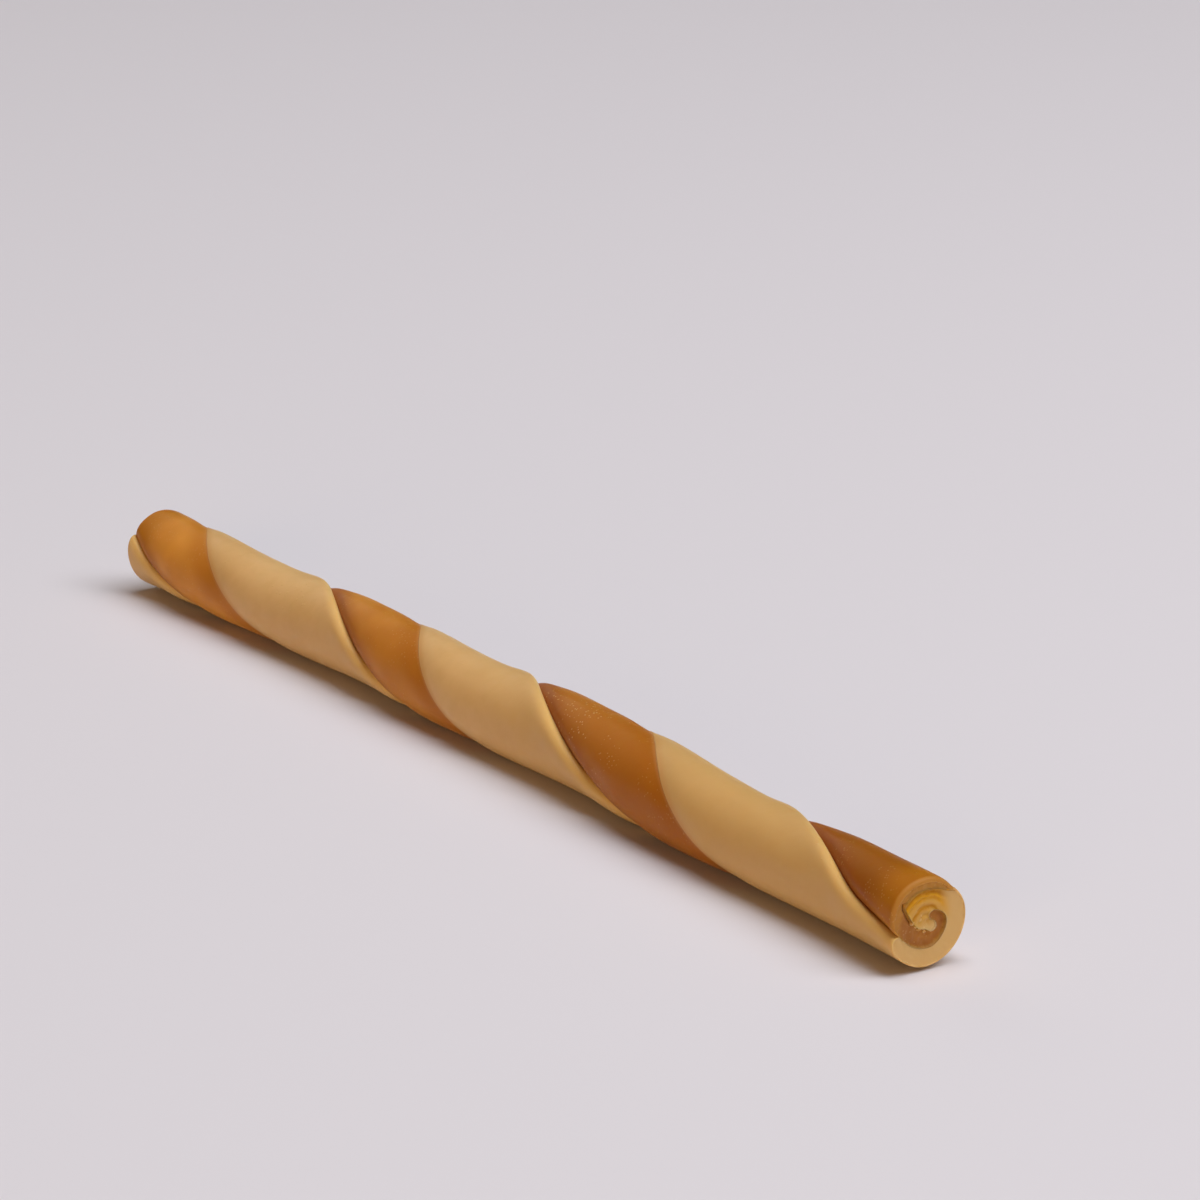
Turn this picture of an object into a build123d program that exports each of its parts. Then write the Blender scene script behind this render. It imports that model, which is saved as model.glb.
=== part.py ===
"""A twisted chew stick lying on its side: two strips of firm chew dough, cream and caramel, rolled round
each other like a pair of interlocked commas and twisted together into a right-handed rope.

Frame: +X runs along the stick, +Z is up, and the origin is under the middle of the stick on the
surface that it lies on. All lengths are in millimetres and all angles in degrees.
"""

from build123d import *
import math
import os

# Driving dimensions
LENGTH = 127.0
RADIUS = 3.9
GAP = 0.06
SECTIONS = 37

# Values at even stations, from the tail cut at -X to the front cut at +X
TURN = [142.0, 349.0, 535.0, 765.0, 935.0, 1123.0, 1265.0]
GIRTH = [1.04, 0.985, 0.995, 1.01, 1.045, 1.045, 0.965, 1.025]
BOW = [0.0, 0.9, 1.2, 1.3, 0.45, 0.0]

# The twist runs ahead by a few degrees at one place just before the front cut
SWERVE, SWERVE_AT, SWERVE_LENGTH = 9.0, 57.0, 4.0

# The roll's section as (angle, radius as a share of RADIUS). Angle 0 is the crack where the cream strip's
# free edge overhangs the caramel strip, and angles grow from +Y towards +Z when the turn is 0.
CREAM_BACK = [(6, 0.87), (14, 0.97), (24, 0.985), (42, 0.945), (75, 0.935), (120, 0.955), (165, 1.0),
              (198, 1.0)]
CARAMEL_BACK = [(240, 0.99), (275, 1.02), (312, 1.03), (336, 0.97), (352, 0.89)]

# The seam between the strips: in from the crack to the curled tip of the caramel strip, back along the
# inside of the curl, up the square end of the cream strip, and out to the flush edge.
SEAM_CURL = [(5, 0.73), (24, 0.62), (55, 0.54), (95, 0.53), (140, 0.51), (182, 0.5), (212, 0.4), (238, 0.3),
             (250, 0.2), (228, 0.12), (185, 0.2), (152, 0.26), (115, 0.21), (75, 0.11), (20, 0.18)]
SEAM_CORNERS = [(-26, 0.42), (-45, 0.82)]
SEAM_SKIN = [(-75, 0.82), (-105, 0.8), (-130, 0.85), (-143, 0.968)]


def along(values, x):
    """A smooth curve through evenly spaced values, read at x (Catmull-Rom)."""
    last = len(values) - 1
    place = (x / LENGTH + 0.5) * last
    k = min(int(place), last - 1)
    t = place - k
    p1, p2 = values[k], values[k + 1]
    p0 = values[k - 1] if k > 0 else 2 * p1 - p2
    p3 = values[k + 2] if k + 2 <= last else 2 * p2 - p1
    bend = (2 * p0 - 5 * p1 + 4 * p2 - p3) * t * t + (3 * p1 - p0 - 3 * p2 + p3) * t**3
    return p1 + 0.5 * ((p2 - p0) * t + bend)


def polar(points, scale):
    """Section points in millimetres from (angle, share of radius) pairs."""
    return [
        Vector(scale * r * math.cos(math.radians(a)), scale * r * math.sin(math.radians(a)))
        for a, r in points
    ]


def moved_aside(points, distance):
    """The same line moved to its left by distance, square to its local direction."""
    out = []
    for i, point in enumerate(points):
        ahead = points[min(i + 1, len(points) - 1)]
        behind = points[max(i - 1, 0)]
        out.append(point + (ahead - behind).normalized().rotate(Axis.Z, 90) * distance)
    return out


def section_plane(x):
    """The plane across the stick at x, turned with the twist and following the bow."""
    swerve = SWERVE * math.exp(-(((x - SWERVE_AT) / SWERVE_LENGTH) ** 2))
    turn = math.radians(along(TURN, x) + swerve)
    return Plane(
        origin=(x, along(BOW, x), 0), x_dir=(0, math.cos(turn), math.sin(turn)), z_dir=(1, 0, 0)
    )


def draw_seam(scale, side):
    """The seam's three stretches, moved half the gap to one side; returns its crack and flush ends."""
    line = moved_aside(polar(SEAM_CURL + SEAM_CORNERS + SEAM_SKIN, scale), side * GAP / 2)
    inner = len(SEAM_CURL)
    Spline(*line[: inner + 1])
    Line(line[inner], line[inner + 1])
    Spline(*line[inner + 1 :])
    return line[0], line[-1]


def cream_outline(radius):
    """The strip's side of the seam, and its rounded free edge and back in one curve."""
    crack, flush = draw_seam(radius, -1)
    Spline(crack, *polar(CREAM_BACK, radius), flush)


def caramel_outline(radius):
    """The strip's side of the seam, and its back from the flush edge to the crack."""
    crack, flush = draw_seam(radius, 1)
    Spline(flush, *polar(CARAMEL_BACK, radius), crack)


def stations():
    return [LENGTH * (i / (SECTIONS - 1) - 0.5) for i in range(SECTIONS)]


with BuildPart() as cream_strip:
    for x in stations():
        with BuildSketch(section_plane(x)):
            with BuildLine():
                cream_outline(RADIUS * along(GIRTH, x))
            make_face()
    loft(clean=False)

with BuildPart() as caramel_strip:
    for x in stations():
        with BuildSketch(section_plane(x)):
            with BuildLine():
                caramel_outline(RADIUS * along(GIRTH, x))
            make_face()
    loft(clean=False)

# The stick rests on z = 0 with its origin under the middle of its box.
boxes = [cream_strip.part.bounding_box(), caramel_strip.part.bounding_box()]
middle_y = (min(box.min.Y for box in boxes) + max(box.max.Y for box in boxes)) / 2
lowest = min(box.min.Z for box in boxes)
to_rest = Location((0, -middle_y, -lowest))

os.makedirs("parts", exist_ok=True)
for name, strip in (("cream_strip", cream_strip), ("caramel_strip", caramel_strip)):
    strip.part.label = name
    strip.part.locate(to_rest)
    export_step(strip.part, f"parts/{name}.step")
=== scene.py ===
"""Twisted chew stick: two strips of chew dough, cream and caramel, rolled round each other like
interlocked commas and twisted into a right-handed rope. Metres, in the CAD frame: +X runs along the
stick and +Z is up."""
import math

import bmesh
import bpy
import numpy as np
from mathutils import Matrix, Vector, geometry, noise


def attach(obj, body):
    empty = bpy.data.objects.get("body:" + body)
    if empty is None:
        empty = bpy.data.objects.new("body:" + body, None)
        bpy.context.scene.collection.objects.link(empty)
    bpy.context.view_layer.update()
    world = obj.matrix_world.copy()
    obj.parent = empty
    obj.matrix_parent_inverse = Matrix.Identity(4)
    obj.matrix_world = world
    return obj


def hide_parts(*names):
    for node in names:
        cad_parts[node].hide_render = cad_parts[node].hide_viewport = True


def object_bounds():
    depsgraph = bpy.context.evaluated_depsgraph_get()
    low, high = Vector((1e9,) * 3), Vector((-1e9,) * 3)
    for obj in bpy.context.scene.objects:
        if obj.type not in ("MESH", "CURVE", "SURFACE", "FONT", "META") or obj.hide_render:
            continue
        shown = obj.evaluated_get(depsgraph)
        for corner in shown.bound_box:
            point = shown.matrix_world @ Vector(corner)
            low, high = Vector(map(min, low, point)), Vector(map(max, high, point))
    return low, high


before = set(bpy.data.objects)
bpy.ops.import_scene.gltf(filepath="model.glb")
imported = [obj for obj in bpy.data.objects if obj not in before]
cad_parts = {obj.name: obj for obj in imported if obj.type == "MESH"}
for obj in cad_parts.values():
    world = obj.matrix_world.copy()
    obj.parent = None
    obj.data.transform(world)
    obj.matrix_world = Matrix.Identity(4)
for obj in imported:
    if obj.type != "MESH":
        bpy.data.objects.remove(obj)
CAD_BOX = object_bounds()

# ---------------------------------------------------------------------------------------------
# Driving dimensions: the CAD model's own, with a finer gap and a crack that can shut
# ---------------------------------------------------------------------------------------------
MM = 0.001
LENGTH = CAD_BOX[1].x - CAD_BOX[0].x
RADIUS = 3.9 * MM
GAP = 0.02 * MM

# Values at even stations, from the tail cut at -X to the front cut at +X
TURN = [142.0, 349.0, 535.0, 765.0, 935.0, 1123.0, 1265.0]
GIRTH = [1.04, 0.985, 0.995, 1.01, 1.045, 1.045, 0.965, 1.025]
BOW = [0.0, 0.9 * MM, 1.2 * MM, 1.3 * MM, 0.45 * MM, 0.0]

# The twist runs ahead by a few degrees at one place just before the front cut
SWERVE, SWERVE_AT, SWERVE_LENGTH = 9.0, 57 * MM, 4 * MM

# How far the crack gapes at even stations: 0 is shut, with the free edge hugging the caramel strip
GAPE = [0.15, 0.55, 0.6, 0.55, 0.7, 0.85, 1.0]

# The roll's section as (angle, radius as a share of RADIUS), angle 0 at the crack. Each back and the
# seam's mouth come as a gaping and a shut outline, which blend with GAPE.
CREAM_BACK = [(6, 0.87), (14, 0.97), (24, 0.985), (42, 0.945), (75, 0.935), (120, 0.955), (165, 1.0),
              (198, 1.0)]
CREAM_SHUT = [(5, 0.93), (12, 0.975), (24, 0.975), (42, 0.95), (75, 0.935), (120, 0.955), (165, 1.0),
              (198, 1.0)]
CARAMEL_BACK = [(240, 0.99), (275, 1.02), (312, 1.03), (336, 0.97), (352, 0.89)]
CARAMEL_SHUT = [(240, 0.99), (275, 1.01), (312, 1.01), (336, 0.98), (352, 0.95)]
MOUTH_OPEN, MOUTH_SHUT = (5, 0.73), (3, 0.88)

# The seam between the strips: in from the crack to the curled tip of the caramel strip, back along the
# inside of the curl, up the square end of the cream strip, and out to the flush edge
SEAM_CURL = [(24, 0.62), (55, 0.54), (95, 0.53), (140, 0.51), (182, 0.5), (212, 0.4), (238, 0.3),
             (250, 0.2), (228, 0.12), (185, 0.2), (152, 0.26), (115, 0.21), (75, 0.11), (20, 0.18)]
SEAM_CORNERS = [(-26, 0.42), (-45, 0.82)]
SEAM_SKIN = [(-75, 0.82), (-105, 0.8), (-130, 0.85)]
FLUSH_CREAM, FLUSH_CARAMEL = (-143, 0.972), (-147, 0.955)

# Steps of the outline along the seam's curl, square end and skin, and along each strip's back
CURL_STEPS, END_STEPS, SKIN_STEPS = 52, 8, 24
CREAM_STEPS, CARAMEL_STEPS = 96, 72

# ---------------------------------------------------------------------------------------------
# Curves
# ---------------------------------------------------------------------------------------------
FINE_STEPS, STRAIGHT_STEPS = 40, 8


def along(values, x):
    """A smooth curve through evenly spaced values, read at every x (Catmull-Rom)."""
    padded = np.array([2 * values[0] - values[1], *values, 2 * values[-1] - values[-2]])
    last = len(values) - 1
    place = np.clip((x / LENGTH + 0.5) * last, 0, last)
    k = np.minimum(place.astype(int), last - 1)
    t = place - k
    p0, p1, p2, p3 = (padded[k + i] for i in range(4))
    bend = (2 * p0 - 5 * p1 + 4 * p2 - p3) * t**2 + (3 * p1 - p0 - 3 * p2 + p3) * t**3
    return p1 + 0.5 * ((p2 - p0) * t + bend)


def polar(points):
    """Section points, as shares of RADIUS, from (angle, radius) pairs."""
    angle, radius = np.array(points, float).T
    angle = np.radians(angle)
    return np.stack([radius * np.cos(angle), radius * np.sin(angle)], 1)


def smooth_line(points, count):
    """count + 1 evenly spaced points on the cubic spline through points."""
    steps = np.linalg.norm(np.diff(points, axis=0), axis=1)
    knots = np.concatenate([[0], np.cumsum(steps)])
    n = len(points)
    if n == 2:
        fine = points[0] + (points[1] - points[0]) * np.linspace(0, 1, STRAIGHT_STEPS + 1)[:, None]
    else:
        system, right = np.eye(n), np.zeros((n, 2))
        for i in range(1, n - 1):
            system[i, i - 1 : i + 2] = steps[i - 1], 2 * (steps[i - 1] + steps[i]), steps[i]
            before, after = (points[i] - points[i - 1]) / steps[i - 1], (points[i + 1] - points[i]) / steps[i]
            right[i] = 6 * (after - before)
        bend = np.linalg.solve(system, right)
        s = np.linspace(0, knots[-1], FINE_STEPS * n)
        k = np.clip(np.searchsorted(knots, s, side="right") - 1, 0, n - 2)
        h, a, b = steps[k][:, None], (knots[k + 1] - s)[:, None], (s - knots[k])[:, None]
        fine = (bend[k] * a**3 + bend[k + 1] * b**3) / (6 * h)
        fine += (points[k] / h - bend[k] * h / 6) * a + (points[k + 1] / h - bend[k + 1] * h / 6) * b
    run = np.concatenate([[0], np.cumsum(np.linalg.norm(np.diff(fine, axis=0), axis=1))])
    even = np.linspace(0, run[-1], count + 1)
    return np.stack([np.interp(even, run, fine[:, i]) for i in range(2)], 1)


def moved_aside(points, distance):
    """The same line moved to its left by distance, square to its local direction."""
    ahead = np.roll(points, -1, 0)
    behind = np.roll(points, 1, 0)
    ahead[-1], behind[0] = points[-1], points[0]
    way = ahead - behind
    way /= np.linalg.norm(way, axis=1)[:, None]
    return points + distance * np.stack([-way[:, 1], way[:, 0]], 1)


def seam(side, mouth, flush):
    """The seam as one line from the crack's mouth to the flush edge, half the gap to one side."""
    points = polar([mouth] + SEAM_CURL + SEAM_CORNERS + SEAM_SKIN + [flush])
    line = moved_aside(points, side * GAP / RADIUS / 2)
    inner = len(SEAM_CURL) + 1
    curl = smooth_line(line[: inner + 1], CURL_STEPS)
    end = smooth_line(line[inner : inner + 2], END_STEPS)
    skin = smooth_line(line[inner + 1 :], SKIN_STEPS)
    return np.concatenate([curl[:-1], end[:-1], skin])


def closed_section(side, back, mouth, flush, count):
    """One strip's outline: count + 1 points along its back, then its side of the seam."""
    line = seam(side, mouth, flush)
    if side > 0:
        line = line[::-1]
    outer = smooth_line(np.concatenate([line[:1], polar(back), line[-1:]]), count)
    return np.concatenate([outer, line[::-1][1:-1]])


# ---------------------------------------------------------------------------------------------
# Strips
# ---------------------------------------------------------------------------------------------
STATIONS = 440
CAP_GRID = 0.12 * MM
LUMP, LUMP_LENGTH, LUMP_ACROSS = 0.006, 8 * MM, 1.3

# Rounding of the two cuts' rims, at the tail and at the front, over the caramel skin and the cream arm,
# the angles between which the skin's rounding takes over, and the shares of RADIUS over which it grows
SKIN_RIMS, ARM_RIMS = (0.6 * MM, 0.4 * MM), (0.35 * MM, 0.12 * MM)
SKIN_ANGLES = (-150, -135, -10, 5)
RIM_STEPS = 9
RIM_REACH = (0.55, 1.0)


def stations():
    """Places along the stick, closer together over the rounded rims of the two cuts."""
    half = LENGTH / 2
    steps = 1 - np.cos(np.linspace(0, math.pi / 2, RIM_STEPS))
    tail, front = (max(sizes) for sizes in zip(SKIN_RIMS, ARM_RIMS))
    body = np.linspace(-half + tail, half - front, STATIONS)
    return np.concatenate([steps[:-1] * tail - half, body, (half - steps * front)[-2::-1]])


def drawn_in(x, u, v):
    """How far a point of the section is drawn in by the rounded rim of the nearer cut."""
    end = 0 if x < 0 else 1
    skin = np.interp(math.degrees(math.atan2(v, u)), SKIN_ANGLES, (0, 1, 1, 0))
    size = skin * SKIN_RIMS[end] + (1 - skin) * ARM_RIMS[end]
    off = max(0.0, size - (LENGTH / 2 - abs(x)))
    share = np.interp(math.hypot(u, v), RIM_REACH, [0, 1])
    return share * (size - math.sqrt(max(0.0, size**2 - off**2)))


def reach_along(section, back_count):
    """Each outline point's distance in millimetres from the strip's two long edges, negative in the seam."""
    steps = np.linalg.norm(np.roll(section, -1, 0) - section, axis=1)
    run = np.concatenate([[0], np.cumsum(steps)[:-1]])
    whole, back = steps.sum(), run[back_count]
    first = np.where(run <= (back + whole) / 2, run, run - whole)
    second = np.where(run >= back / 2, back - run, back)
    return first * RADIUS / MM, second * RADIUS / MM


def lump(x, u, v):
    """Slow hand-rolled unevenness, the same for both strips so that the seam stays closed."""
    return 1 + LUMP * noise.noise(Vector((x / LUMP_LENGTH, LUMP_ACROSS * u, LUMP_ACROSS * v)))


class Strip:
    """One strip of dough: rings of its outline along the stick, closed by a worked face at each cut."""

    def __init__(self, name, side, outlines, mouths, flush, count, relief):
        gaping, shut = (
            closed_section(side, back, mouth, flush, count) for back, mouth in zip(outlines, mouths)
        )
        self.relief = relief
        self.x = stations()
        gape = along(GAPE, self.x)[:, None, None]
        self.unit = shut[None] + (gaping - shut)[None] * gape
        self.n = len(gaping)
        self.radius = RADIUS * along(GIRTH, self.x)
        swerve = SWERVE * np.exp(-(((self.x - SWERVE_AT) / SWERVE_LENGTH) ** 2))
        self.turn, self.bow = np.radians(along(TURN, self.x) + swerve), along(BOW, self.x)
        self.verts, self.spots, self.reaches, self.faces = [], [], [], []
        first, second = reach_along(gaping, count)
        for i, x in enumerate(self.x):
            for j, (u, v) in enumerate(self.unit[i]):
                self.add(i, x, u, v, 0.0, (first[j], second[j], x / MM))
        self.join_rings()
        for i, flip in ((0, True), (len(self.x) - 1, False)):
            self.close(i, flip)
        self.mesh = self.make(name)
        self.crease(count if side < 0 else 0)

    def add(self, i, x, u, v, cut, reach):
        """Adds the section's point u, v at station i, with what the materials read there."""
        r = self.radius[i] * lump(x, u, v) - drawn_in(self.x[i], u, v) / math.hypot(u, v)
        c, s = math.cos(self.turn[i]), math.sin(self.turn[i])
        self.verts.append((x, self.bow[i] + r * (u * c - v * s), r * (u * s + v * c)))
        self.spots.append((u, v, cut))
        self.reaches.append(reach)

    def join_rings(self):
        """Skins the strip with one row of four-sided faces between each two stations."""
        n = self.n
        for i in range(len(self.x) - 1):
            for j in range(n):
                k = (j + 1) % n
                self.faces.append((i * n + j, i * n + k, i * n + n + k, i * n + n + j))

    def close(self, i, flip):
        """Fills one cut with small triangles, pressed in by the relief."""
        end = -1 if flip else 1
        outline = self.unit[i]
        inner = self.inner_points(outline, CAP_GRID / self.radius[i])
        points = [Vector(p) for p in outline.tolist() + inner]
        edges = [(a, (a + 1) % self.n) for a in range(self.n)]
        out, _, faces, _, _, _ = geometry.delaunay_2d_cdt(points, edges, [], 1, 1e-9)
        if len(out) != len(points):
            raise ValueError("the cut's outline crosses itself")
        base = len(self.verts)
        number = [base + k for k in range(len(points))]
        for k, (u, v) in enumerate(points):
            depth = 0.0 if k < self.n else max(0.0, self.relief(u, v, end))
            rim = 0.0 if k < self.n else float(np.hypot(*(outline - (u, v)).T).min()) * RADIUS / MM
            self.add(i, self.x[i] - end * depth * MM, u, v, 1.0, (rim, rim, self.x[i] / MM))
        for a in range(self.n):
            b = (a + 1) % self.n
            rim = (i * self.n + a, i * self.n + b, number[b], number[a])
            self.faces.append(rim[::-1] if flip else rim)
        for face in faces:
            ring = [number[k] for k in face]
            self.faces.append(ring[::-1] if flip else ring)

    @staticmethod
    def inner_points(outline, grid):
        """Points inside the outline, in staggered rows a grid step apart."""
        lo, hi = outline.min(0), outline.max(0)
        us, vs = np.arange(lo[0], hi[0], grid), np.arange(lo[1], hi[1], grid)
        rows = [(u + grid / 2 * (row % 2), v) for row, v in enumerate(vs) for u in us]
        return [p for p in rows if inside(outline, p, grid * 0.5)]

    def crease(self, column):
        """Keeps the flush edge crisp, so that its shading doesn't turn into the seam."""
        ends = np.empty(2 * len(self.mesh.edges), np.int32)
        self.mesh.edges.foreach_get("vertices", ends)
        ends = ends.reshape(-1, 2)
        lengthwise = (ends % self.n == column).all(1) & (ends < len(self.x) * self.n).all(1)
        marks = self.mesh.attributes.new("sharp_edge", "BOOLEAN", "EDGE")
        marks.data.foreach_set("value", lengthwise)

    def make(self, name):
        """The mesh, with two attributes for the materials: each point's spot in the section and whether it
        lies on a cut, and its distances from the long edges and place along the stick in millimetres."""
        mesh = bpy.data.meshes.new(name)
        mesh.from_pydata(self.verts, [], self.faces)
        mesh.update()
        for label, rows in (("spot", self.spots), ("reach", self.reaches)):
            layer = mesh.attributes.new(label, "FLOAT_VECTOR", "POINT")
            layer.data.foreach_set("vector", np.array(rows, np.float32).ravel())
        return mesh


def inside(outline, point, margin):
    """True if point is inside the closed outline and at least margin from its points."""
    gap = outline - np.array(point)
    if (np.hypot(gap[:, 0], gap[:, 1]) < margin).any():
        return False
    nxt = np.roll(gap, -1, 0)
    crosses = (gap[:, 1] > 0) != (nxt[:, 1] > 0)
    at = gap[:, 0] - gap[:, 1] * (nxt[:, 0] - gap[:, 0]) / np.where(crosses, nxt[:, 1] - gap[:, 1], 1)
    return bool((crosses & (at > 0)).sum() % 2)


def rough(u, v, size, seed):
    """Torn unevenness at a spot of the section, with lumps of about size."""
    return noise.fractal(Vector((u / size, v / size, seed)), 1.0, 2.0, 4)


# The cream strip's cut: how far its rim and core are pressed in, its streaks' height and its roughness in
# millimetres, and the streaks' spacing and waver and the curl's reach as shares of RADIUS
RIM_DEPTH, CORE_SLOPE, STREAK_HEIGHT, CORE_ROUGHNESS = 0.05, 0.07, 0.07, 0.05
STREAK_SPACING, STREAK_WAVER, CURL_RADIUS = 0.17, 0.04, 0.36
CORE_ANGLES, SLOPE_ANGLES = (-150, -125, -15, 0, 30), (-150, -110, -40)


def cream_relief(u, v, end):
    """How far a point of the cream strip's cut is pressed in, in millimetres."""
    r, angle = math.hypot(u, v), math.degrees(math.atan2(v, u))
    core = np.interp(angle, CORE_ANGLES, (0, 1, 1, 0.5, 1 if r < CURL_RADIUS else 0))
    slope = CORE_SLOPE * np.interp(angle, SLOPE_ANGLES, (0, 1, 0.1))
    wavering = r + STREAK_WAVER * rough(u, v, 0.3, 3 + end)
    ridges = STREAK_HEIGHT * math.sin(2 * math.pi * wavering / STREAK_SPACING)
    pressed = max(0.0, slope + ridges + CORE_ROUGHNESS * rough(u, v, 0.12, 5 + end))
    return RIM_DEPTH + 0.02 * rough(u, v, 0.3, end) + core * pressed


# The caramel strip's cut: its depth in millimetres by angle, and the tear beside the square end, with its
# width as a share of RADIUS
CARAMEL_DEPTH = [(-143, 0.04), (-60, 0.06), (-20, 0.14), (15, 0.24), (60, 0.3), (200, 0.3), (260, 0.2)]
TEAR_WIDTH, TEAR_DEPTH, CARAMEL_ROUGHNESS = 0.06, 0.4, 0.07
CURL_STARTS, CURL_BACK_STARTS, CURL_INNER = -145, -60, 0.45


def caramel_relief(u, v, end):
    """How far a point of the caramel strip's cut is pressed in, in millimetres, deepest inside the curl."""
    r, angle = math.hypot(u, v), math.degrees(math.atan2(v, u))
    if angle < CURL_STARTS or (angle < CURL_BACK_STARTS and r < CURL_INNER):
        angle += 360  # The curl winds on past half a turn
    depth = float(np.interp(angle, *zip(*CARAMEL_DEPTH)))
    a, b = (Vector(p) for p in polar(SEAM_CORNERS))
    nearest, share = geometry.intersect_point_line(Vector((u, v)), a, b)
    off = (Vector((u, v)) - nearest.to_2d()).length + 0.3 * max(0, -share, share - 1)
    tear = TEAR_DEPTH * math.exp(-((off / TEAR_WIDTH) ** 2))
    return depth + tear + CARAMEL_ROUGHNESS * rough(u, v, 0.14, 8 + end)


def add_piece(mesh, slot, *nodes):
    """Puts a mesh in the scene as a smooth piece on the one body, in place of the named CAD nodes."""
    piece = bpy.data.objects.new(mesh.name, mesh)
    bpy.context.collection.objects.link(piece)
    for face in mesh.polygons:
        face.use_smooth = True
    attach(piece, "root")
    if nodes:
        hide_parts(*nodes)
    return piece


# ---------------------------------------------------------------------------------------------
# Dough materials
# ---------------------------------------------------------------------------------------------


class Nodes:
    """Short calls for the few kinds of shader node that the doughs use."""

    def __init__(self, name):
        self.mat = bpy.data.materials.new(name)
        self.mat.use_nodes = True
        self.tree = self.mat.node_tree
        self.shader = self.tree.nodes["Principled BSDF"]

    def link(self, value, socket):
        if isinstance(value, bpy.types.NodeSocket):
            self.tree.links.new(value, socket)
        else:
            socket.default_value = value

    def attribute(self, name):
        node = self.tree.nodes.new("ShaderNodeAttribute")
        node.attribute_name = name
        return node.outputs["Vector"]

    def parts(self, vector):
        node = self.tree.nodes.new("ShaderNodeSeparateXYZ")
        self.link(vector, node.inputs[0])
        return list(node.outputs)

    def maths(self, operation, *values):
        node = self.tree.nodes.new("ShaderNodeMath")
        node.operation = operation
        for value, socket in zip(values, node.inputs):
            self.link(value, socket)
        return node.outputs[0]

    def hypot(self, u, v):
        squares = self.maths("MULTIPLY", u, u), self.maths("MULTIPLY", v, v)
        return self.maths("SQRT", self.maths("ADD", *squares))

    def ramp(self, value, low, high, to_low=0.0, to_high=1.0):
        """value mapped smoothly from low..high to to_low..to_high, and held outside."""
        node = self.tree.nodes.new("ShaderNodeMapRange")
        node.interpolation_type = "SMOOTHSTEP"
        for value, socket in zip((value, low, high, to_low, to_high), node.inputs):
            self.link(value, socket)
        return node.outputs[0]

    def mix(self, share, a, b):
        node = self.tree.nodes.new("ShaderNodeMix")
        node.data_type = "RGBA"
        self.link(share, node.inputs[0])
        for value, socket in ((a, node.inputs[6]), (b, node.inputs[7])):
            self.link((*value, 1) if isinstance(value, tuple) else value, socket)
        return node.outputs[2]

    def bands(self, value, stops):
        node = self.tree.nodes.new("ShaderNodeValToRGB")
        self.link(value, node.inputs[0])
        stop = node.color_ramp.elements
        while len(stop) < len(stops):
            stop.new(1.0)
        for one, (where, colour) in zip(stop, stops):
            one.position, one.color = where, (*colour, 1)
        return node.outputs[0]

    def noise(self, vector, scale, detail=3.0, stretch=(1, 1, 1)):
        place = self.tree.nodes.new("ShaderNodeMapping")
        self.link(vector, place.inputs["Vector"])
        place.inputs["Scale"].default_value = stretch
        node = self.tree.nodes.new("ShaderNodeTexNoise")
        self.tree.links.new(place.outputs[0], node.inputs["Vector"])
        node.inputs["Scale"].default_value = scale
        node.inputs["Detail"].default_value = detail
        return node.outputs["Fac"]

    def cells(self, vector, scale):
        node = self.tree.nodes.new("ShaderNodeTexVoronoi")
        self.link(vector, node.inputs["Vector"])
        node.inputs["Scale"].default_value = scale
        return node.outputs["Distance"]

    def bump(self, height, distance, strength, before=None):
        node = self.tree.nodes.new("ShaderNodeBump")
        node.inputs["Strength"].default_value = strength
        node.inputs["Distance"].default_value = distance
        self.link(height, node.inputs["Height"])
        if before:
            self.link(before, node.inputs["Normal"])
        return node.outputs[0]

    def place(self):
        node = self.tree.nodes.new("ShaderNodeTexCoord")
        return node.outputs["Object"]


# Heights and strengths of the pressed grain and of the specks
GRAIN_HEIGHT, GRAIN_STRENGTH = 0.05 * MM, 0.35
SPECK_HEIGHT, SPECK_STRENGTH = 0.06 * MM, 0.6

# The waxy skin: roughness between two values, with more on the specks
SHEEN_SCALE, SHEEN_ROUGHNESS, SPECK_ROUGHNESS = 260, (0.36, 0.5), 0.25
DOUGH_IOR, HAZE_SPREAD = 1.4, 0.45
TRANSLUCENCY, TRANSLUCENT_REACH = 0.6, (1.0, 0.85, 0.7)


def finish_dough(n, colour, depth_mm, specks, fine, gloss=0.3, haze=0.0):
    """Waxy, slightly translucent dough: soft uneven sheen over a fine pressed grain."""
    place = n.place()
    n.link(colour, n.shader.inputs["Base Color"])
    sheen = n.ramp(n.noise(place, SHEEN_SCALE, 4), 0.3, 0.7, *SHEEN_ROUGHNESS)
    rougher = n.maths("MULTIPLY", specks, SPECK_ROUGHNESS)
    n.link(n.maths("ADD", sheen, rougher), n.shader.inputs["Roughness"])
    grain = n.bump(fine, GRAIN_HEIGHT, GRAIN_STRENGTH)
    n.link(n.bump(specks, SPECK_HEIGHT, SPECK_STRENGTH, grain), n.shader.inputs["Normal"])
    n.shader.inputs["IOR"].default_value = DOUGH_IOR
    n.shader.inputs["Specular IOR Level"].default_value = gloss
    n.shader.inputs["Sheen Weight"].default_value = haze
    n.shader.inputs["Sheen Roughness"].default_value = HAZE_SPREAD
    n.shader.inputs["Subsurface Weight"].default_value = TRANSLUCENCY
    n.shader.inputs["Subsurface Radius"].default_value = TRANSLUCENT_REACH
    n.shader.inputs["Subsurface Scale"].default_value = depth_mm * MM
    return n.mat


def specks_of(n, place, scale, size, rarity):
    """Sparse crumbs: the hearts of a cell pattern, kept only where a slow noise is above rarity."""
    heart = n.ramp(n.cells(place, scale), size, size * 0.5)
    return n.maths("MULTIPLY", heart, n.ramp(n.noise(place, scale * 0.12, 2), rarity, rarity + 0.06))


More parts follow.
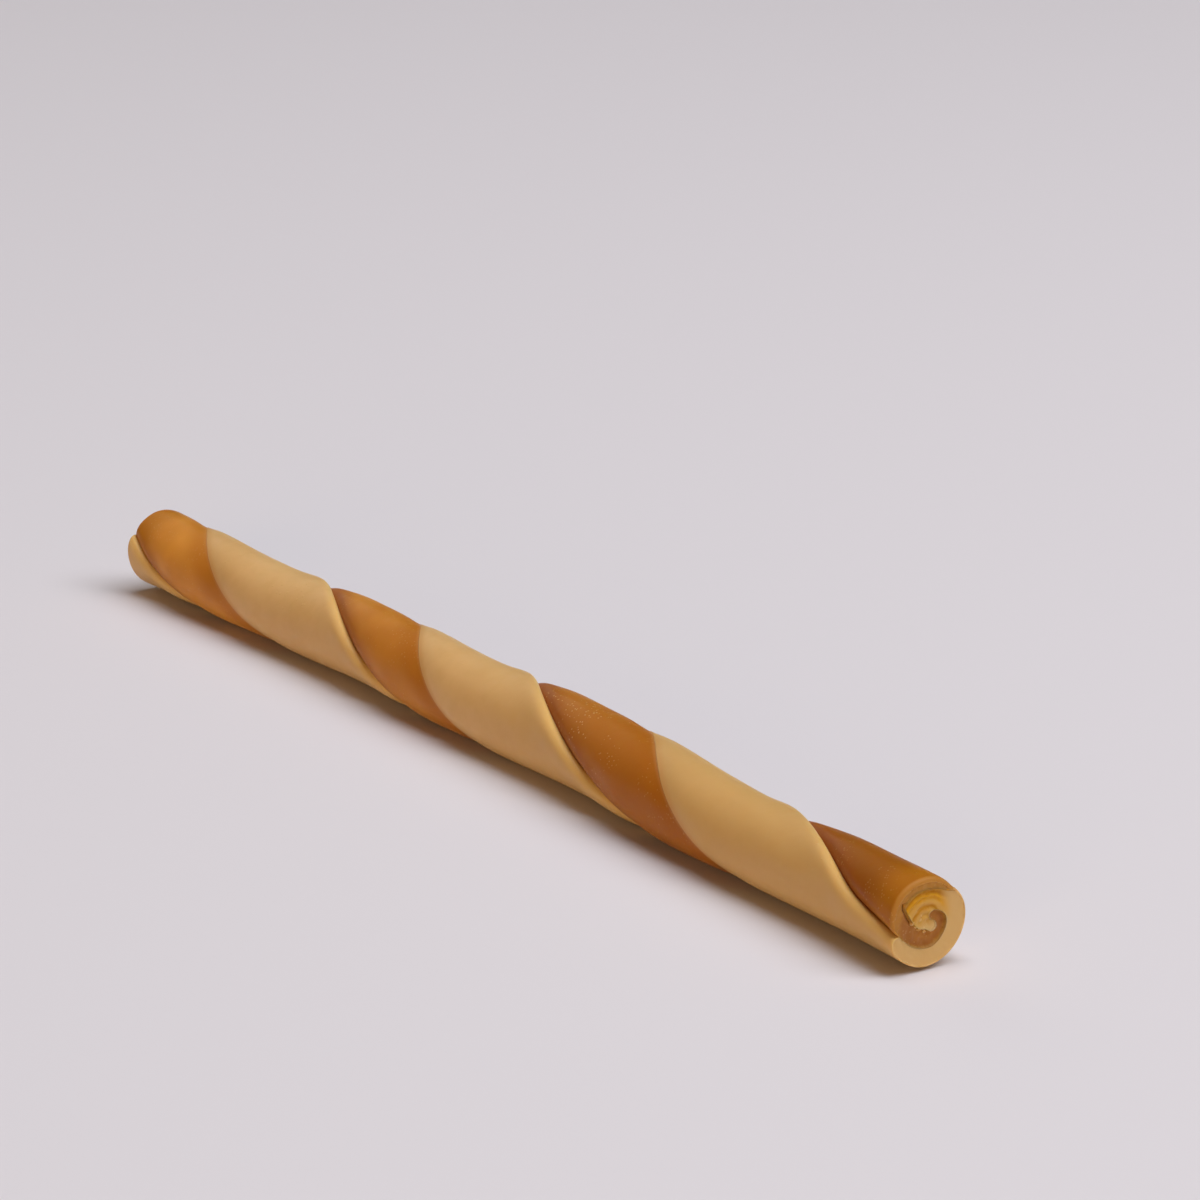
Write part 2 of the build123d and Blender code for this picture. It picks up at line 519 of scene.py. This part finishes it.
# The doughs' colours, in linear light
# The cream's edge colour is a painted highlight along its rounded free edge
CREAM, CREAM_DEEP, CREAM_EDGE_HIGHLIGHT = (0.71, 0.435, 0.18), (0.66, 0.39, 0.15), (0.76, 0.49, 0.16)
# The cream's near colour is painted shade, darker towards the front where the light falls off
CREAM_MOTTLE, CREAM_SHADED_NEAR = (0.61, 0.35, 0.115), (0.62, 0.365, 0.122)
# The cream's seam colour is a painted warm glow of light shining through the dough into the crack
CREAM_WELD, CREAM_SEAM_GLOW, CREAM_CUT = (0.60, 0.31, 0.10), (0.62, 0.27, 0.02), (0.66, 0.42, 0.16)
# The golds are cream painted with the glow of light bouncing in the recessed core
GOLD_GLOW, GOLD_GLOW_DEEP, GOLD_GLOW_PALE = (0.64, 0.31, 0.012), (0.50, 0.21, 0.003), (0.62, 0.34, 0.07)
# The caramel's far colour is the lit end, and its near and front colours are painted shade, darker towards
# the front
CARAMEL_LIT_FAR, CARAMEL_SHADED_NEAR, CARAMEL_SHADED_FRONT = (0.70, 0.29, 0.04), (0.39, 0.12, 0.006), (0.28, 0.085, 0.001)
# The caramel's seam colour is a painted warm glow of light shining through the dough into the crack
CARAMEL_DEEP, CARAMEL_WELD, CARAMEL_SEAM_GLOW = (0.40, 0.12, 0.004), (0.56, 0.27, 0.09), (0.40, 0.11, 0.002)
# The caramel's crack colour is painted shade beside the crack, under the cream's overhanging free edge
CARAMEL_CRACK_SHADE, CARAMEL_TIP = (0.31, 0.075, 0.001), (0.46, 0.19, 0.035)
# The caramel's glow colour is a painted glow of light shining through the skin near the cuts
# The caramel's heart colour is painted shade in the recessed heart of the curl
CARAMEL_PAINTED_GLOW, CARAMEL_CUT, CARAMEL_HEART_SHADE = (0.44, 0.15, 0.001), (0.46, 0.21, 0.038), (0.37, 0.145, 0.03)
CRUMB, CRUMB_PALE, CRUMB_DEEP = (0.72, 0.46, 0.18), (0.78, 0.50, 0.20), (0.66, 0.36, 0.10)

# The streaks across the core of the cut, by radius as a share of RADIUS, painted gold: a painted glow of
# light bouncing in the recessed cream core
CUT_GLOW_BANDS = [(0.0, GOLD_GLOW_PALE), (0.30, GOLD_GLOW_PALE), (0.37, GOLD_GLOW_DEEP), (0.43, GOLD_GLOW_PALE), (0.50, GOLD_GLOW_PALE),
             (0.56, GOLD_GLOW), (0.66, GOLD_GLOW), (0.74, GOLD_GLOW_DEEP)]


def cream_material():
    n = Nodes("cream_dough")
    place = n.place()
    to_crack, to_flush, at = n.parts(n.attribute("reach"))
    u, v, cut = n.parts(n.attribute("spot"))

    # The skin: slow patches, painted shade deeper towards the front where the light falls off, a fine mottle
    out = n.mix(n.ramp(n.noise(place, 110, 3), 0.35, 0.7), CREAM, CREAM_DEEP)
    out = n.mix(n.ramp(at, -15, 40, 0, 0.75), out, CREAM_SHADED_NEAR)
    out = n.mix(n.ramp(n.noise(place, 700, 5), 0.4, 0.7, 0, 0.25), out, CREAM_MOTTLE)

    # A painted highlight along its rounded free edge, its flush edge, and a painted warm glow of light
    # shining through the dough on its side of the seam, by distance in millimetres
    out = n.mix(n.ramp(to_crack, 1.7, 0.3, 0, 0.7), out, CREAM_EDGE_HIGHLIGHT)
    out = n.mix(n.ramp(to_flush, 1.0, 0.0, 0, 0.85), out, CREAM_WELD)
    out = n.mix(n.ramp(n.maths("MINIMUM", to_crack, to_flush), -0.1, -0.6), out, CREAM_SEAM_GLOW)

    # The cuts: streaks over the core, painted gold as a glow of light bouncing in the recessed cream core
    radius = n.hypot(u, v)
    wander = n.maths("MULTIPLY", n.maths("SUBTRACT", n.noise(n.attribute("spot"), 4, 3), 0.5), 0.16)
    gold_glow = n.bands(n.maths("ADD", radius, wander), CUT_GLOW_BANDS)
    core = n.maths("MULTIPLY", n.ramp(v, 0.12, -0.1), n.ramp(u, -0.72, -0.35))
    face = n.mix(core, CREAM_CUT, gold_glow)
    specks = specks_of(n, place, 1300, 0.18, 0.6)
    colour = n.mix(n.maths("MULTIPLY", specks, 0.6), n.mix(cut, out, face), CRUMB)
    return finish_dough(n, colour, 0.45, specks, n.noise(place, 1500, 3))


# The caramel strip's specks gather round this place along the stick and thin out over this span of
# distances from it, in millimetres, to this share
SPECKLED_AT, SPECKLED_SPAN, SPECKS_ELSEWHERE = 10, (14, 5), 0.3


def caramel_material():
    n = Nodes("caramel_dough")
    place = n.place()
    to_flush, to_crack, at = n.parts(n.attribute("reach"))
    u, v, cut = n.parts(n.attribute("spot"))

    # The skin: painted shade, darker towards the front where the light falls off, with slow patches and a
    # deeper flush side
    out = n.mix(n.ramp(at, -60, 45), CARAMEL_LIT_FAR, CARAMEL_SHADED_NEAR)
    out = n.mix(n.ramp(n.noise(place, 120, 3), 0.35, 0.75, 0, 0.5), out, CARAMEL_DEEP)
    out = n.mix(n.ramp(to_flush, 4.0, 1.0, 0, 0.6), out, CARAMEL_DEEP)
    # More painted shade over the last stretch before the front cut
    out = n.mix(n.ramp(at, 34, 50, 0, 0.65), out, CARAMEL_SHADED_FRONT)

    # Painted shade beside the crack under the cream's overhanging edge, its flush edge, and a painted warm
    # glow of light shining through the dough on its side of the seam, by distance in millimetres
    out = n.mix(n.ramp(to_crack, 3.0, 0.3, 0, 0.85), out, CARAMEL_CRACK_SHADE)
    out = n.mix(n.ramp(to_flush, 0.8, 0.0, 0, 0.8), out, CARAMEL_WELD)
    out = n.mix(n.ramp(n.maths("MINIMUM", to_crack, to_flush), -0.1, -0.6), out, CARAMEL_SEAM_GLOW)

    # The skin is painted warmer just before each cut, a painted glow of light shining through the thin dough
    # there, and its rim has the cut's colour
    out = n.mix(n.ramp(n.maths("ABSOLUTE", at), 58.5, 62.5, 0, 0.8), out, CARAMEL_PAINTED_GLOW)
    out = n.mix(n.ramp(n.maths("ABSOLUTE", at), 63.0, 63.4, 0, 0.9), out, CARAMEL_CUT)

    # The cuts: painted shade darkens the recessed heart of the curl, with a lighter tip inside it
    radius = n.hypot(u, v)
    heart = n.maths("MULTIPLY", n.ramp(radius, 0.8, 0.6), n.ramp(to_crack, 0.0, 0.35))
    face = n.mix(heart, CARAMEL_CUT, n.mix(n.ramp(radius, 0.45, 0.25), CARAMEL_HEART_SHADE, CARAMEL_TIP))
    away = n.maths("ABSOLUTE", n.maths("SUBTRACT", at, SPECKLED_AT))
    share = n.ramp(away, *SPECKLED_SPAN, SPECKS_ELSEWHERE, 1.0)
    specks = n.maths("MULTIPLY", specks_of(n, place, 2600, 0.26, 0.48), share)
    colour = n.mix(n.maths("MULTIPLY", specks, 0.7), n.mix(cut, out, face), CRUMB)
    return finish_dough(n, colour, 0.4, specks, n.noise(place, 1300, 3), gloss=0.2, haze=0.05)


# ---------------------------------------------------------------------------------------------
# Crumbs
# ---------------------------------------------------------------------------------------------

# Each crumb on the front cut: angle, radius as a share of RADIUS, size and depth of its middle in
# millimetres
CRUMBS = [(-20, 0.36, 0.24, 0.18), (-4, 0.27, 0.16, 0.2), (14, 0.2, 0.2, 0.24), (43, 0.1, 0.2, 0.22),
          (75, 0.17, 0.13, 0.26), (-61, 0.27, 0.2, 0.16), (-40, 0.2, 0.15, 0.16), (26, 0.46, 0.14, 0.44),
          (31, 0.5, 0.1, 0.42), (22, 0.39, 0.09, 0.44), (38, 0.43, 0.08, 0.44), (12, 0.5, 0.09, 0.4),
          (46, 0.5, 0.11, 0.42), (20, 0.58, 0.07, 0.36), (8, 0.42, 0.07, 0.42), (-6, 0.56, 0.08, 0.32)]
CRUMB_BULGE, CRUMB_SEED_STEP = 0.45, 3.1


def crumbs():
    """Small torn lumps of dough on the front cut, half sunk in it."""
    verts, faces = [], []
    turn, radius = math.radians(TURN[-1]), RADIUS * GIRTH[-1]
    for k, (angle, r, size, depth) in enumerate(CRUMBS):
        ball = bmesh.new()
        bmesh.ops.create_icosphere(ball, subdivisions=3, radius=size * MM)
        a = math.radians(angle) + turn
        middle = Vector((LENGTH / 2 - depth * MM, r * radius * math.cos(a), r * radius * math.sin(a)))
        base = len(verts)
        seed = Vector((CRUMB_SEED_STEP * k, 0, 0))
        for vert in ball.verts:
            vert.co *= 1 + CRUMB_BULGE * noise.fractal(vert.co / (size * MM) + seed, 1.0, 2.0, 3)
        middle.x = min(middle.x, LENGTH / 2 - max(vert.co.x for vert in ball.verts))
        verts += [middle + vert.co for vert in ball.verts]
        faces += [[base + vert.index for vert in face.verts] for face in ball.faces]
        ball.free()
    mesh = bpy.data.meshes.new("cut_crumbs")
    mesh.from_pydata(verts, [], faces)
    mesh.update()
    return mesh


def crumb_material():
    n = Nodes("crumbs")
    place = n.place()
    colour = n.mix(n.ramp(n.noise(place, 1800, 3), 0.35, 0.65), CRUMB_PALE, CRUMB_DEEP)
    specks = specks_of(n, place, 2500, 0.3, 0.5)
    return finish_dough(n, colour, 0.3, specks, n.noise(place, 3000, 3))


# ---------------------------------------------------------------------------------------------
# The object, resting on z = 0 with its origin under the middle of its box
# ---------------------------------------------------------------------------------------------
MOUTHS = (MOUTH_OPEN, MOUTH_SHUT)
cream_strip = Strip("cream_strip_dough", -1, (CREAM_BACK, CREAM_SHUT), MOUTHS,
                    FLUSH_CREAM, CREAM_STEPS, cream_relief)
caramel_strip = Strip("caramel_strip_dough", 1, (CARAMEL_BACK, CARAMEL_SHUT), MOUTHS,
                      FLUSH_CARAMEL, CARAMEL_STEPS, caramel_relief)
every = np.array(cream_strip.verts + caramel_strip.verts)
to_rest = Vector((0, -(every[:, 1].min() + every[:, 1].max()) / 2, -every[:, 2].min()))
crumb_mesh = crumbs()
for mesh in (cream_strip.mesh, caramel_strip.mesh, crumb_mesh):
    mesh.transform(Matrix.Translation(to_rest))
add_piece(cream_strip.mesh, "cream_dough", "cream_strip").data.materials.append(cream_material())
add_piece(caramel_strip.mesh, "caramel_dough", "caramel_strip").data.materials.append(caramel_material())
add_piece(crumb_mesh, "cream_dough").data.materials.append(crumb_material())

# ---------------------------------------------------------------------------------------------
# Floor, light, camera
# ---------------------------------------------------------------------------------------------
FLOOR_HALF = 4.0
FLOOR_COLOUR, FLOOR_ROUGHNESS = (0.75, 0.715, 0.75), 0.9


def floor():
    mesh = bpy.data.meshes.new("cloth_floor")
    corners = [(a * FLOOR_HALF, b * FLOOR_HALF, 0) for a, b in ((-1, -1), (1, -1), (1, 1), (-1, 1))]
    mesh.from_pydata(corners, [], [(0, 1, 2, 3)])
    ob = bpy.data.objects.new("cloth_floor", mesh)
    bpy.context.collection.objects.link(ob)
    mat = bpy.data.materials.new("floor")
    mat.use_nodes = True
    shader = mat.node_tree.nodes["Principled BSDF"]
    shader.inputs["Base Color"].default_value = (*FLOOR_COLOUR, 1)
    shader.inputs["Roughness"].default_value = FLOOR_ROUGHNESS
    mesh.materials.append(mat)


# Name, azimuth and elevation in degrees, distance and size in metres, power and colour
LIGHTS = [
    ("overhead", 128, 68, 1.4, (0.7, 2.0), 24.0, (0.95, 0.965, 1.0)),
    ("fill", 38, 10, 2.5, (1.5, 0.9), 20.0, (1.0, 0.71, 0.38)),
    ("back", 262, 22, 2.5, (1.5, 1.0), 4.0, (1.0, 0.9, 0.78)),
]


def towards(azimuth, elevation):
    """The direction from the middle towards an azimuth, 0 at -Y and 90 at +X, and an elevation."""
    a, e = math.radians(azimuth), math.radians(elevation)
    return Vector((math.sin(a) * math.cos(e), -math.cos(a) * math.cos(e), math.sin(e)))


def area_light(name, azimuth, elevation, distance, size, power, colour):
    back = towards(azimuth, elevation)
    data = bpy.data.lights.new(name, "AREA")
    data.shape = "RECTANGLE"
    data.size, data.size_y = size
    data.energy = power
    data.color = colour
    ob = bpy.data.objects.new(name, data)
    ob.location = back * distance
    ob.rotation_mode = "QUATERNION"
    ob.rotation_quaternion = (-back).to_track_quat("-Z", "Y")
    bpy.context.collection.objects.link(ob)


# The photo's viewing angle, and how far the camera stands from the stick's middle and is moved to its
# right and up without turning
VIEW_AZIMUTH, VIEW_ELEVATION = 55.69, 17.67
VIEW_DISTANCE = 0.45518
AIM_RIGHT, AIM_UP, AIM_LOWERED = 9.05 * MM, 14.13 * MM, 3.72 * MM
LENS, SENSOR = 148.3, 36.0


def camera(origin):
    back = towards(VIEW_AZIMUTH, VIEW_ELEVATION)
    right = Vector((-back.y, back.x, 0)).normalized()
    up = back.cross(right)
    data = bpy.data.cameras.new("camera")
    data.lens, data.sensor_width = LENS, SENSOR
    data.clip_start, data.clip_end = 0.01, 10
    ob = bpy.data.objects.new("camera", data)
    ob.matrix_world = Matrix.Translation(
        origin + back * VIEW_DISTANCE + right * AIM_RIGHT + up * AIM_UP
    ) @ Matrix((right, up, back)).transposed().to_4x4()
    bpy.context.collection.objects.link(ob)
    bpy.context.scene.camera = ob


SKY_COLOUR = (1.0, 0.78, 0.55)
SKY_HEIGHTS, SKY_STRENGTHS = (0.0, 0.9), (0.02, 0.05)


def sky():
    """A dim, warm room, a little brighter overhead than at the horizon."""
    world = bpy.data.worlds.new("studio")
    bpy.context.scene.world = world
    world.use_nodes = True
    tree = world.node_tree
    place = tree.nodes.new("ShaderNodeTexCoord")
    split = tree.nodes.new("ShaderNodeSeparateXYZ")
    tree.links.new(place.outputs["Generated"], split.inputs[0])
    height = tree.nodes.new("ShaderNodeMapRange")
    for limit, value in zip(("From Min", "From Max", "To Min", "To Max"), SKY_HEIGHTS + SKY_STRENGTHS):
        height.inputs[limit].default_value = value
    tree.links.new(split.outputs[2], height.inputs["Value"])
    back = tree.nodes["Background"]
    back.inputs["Color"].default_value = (*SKY_COLOUR, 1)
    tree.links.new(height.outputs[0], back.inputs["Strength"])


floor()
camera(Vector((0, to_rest.y, to_rest.z - AIM_LOWERED)))
for light in LIGHTS:
    area_light(*light)
bpy.data.objects["fill"].visible_glossy = False
sky()
bpy.context.scene.view_settings.view_transform = "Standard"
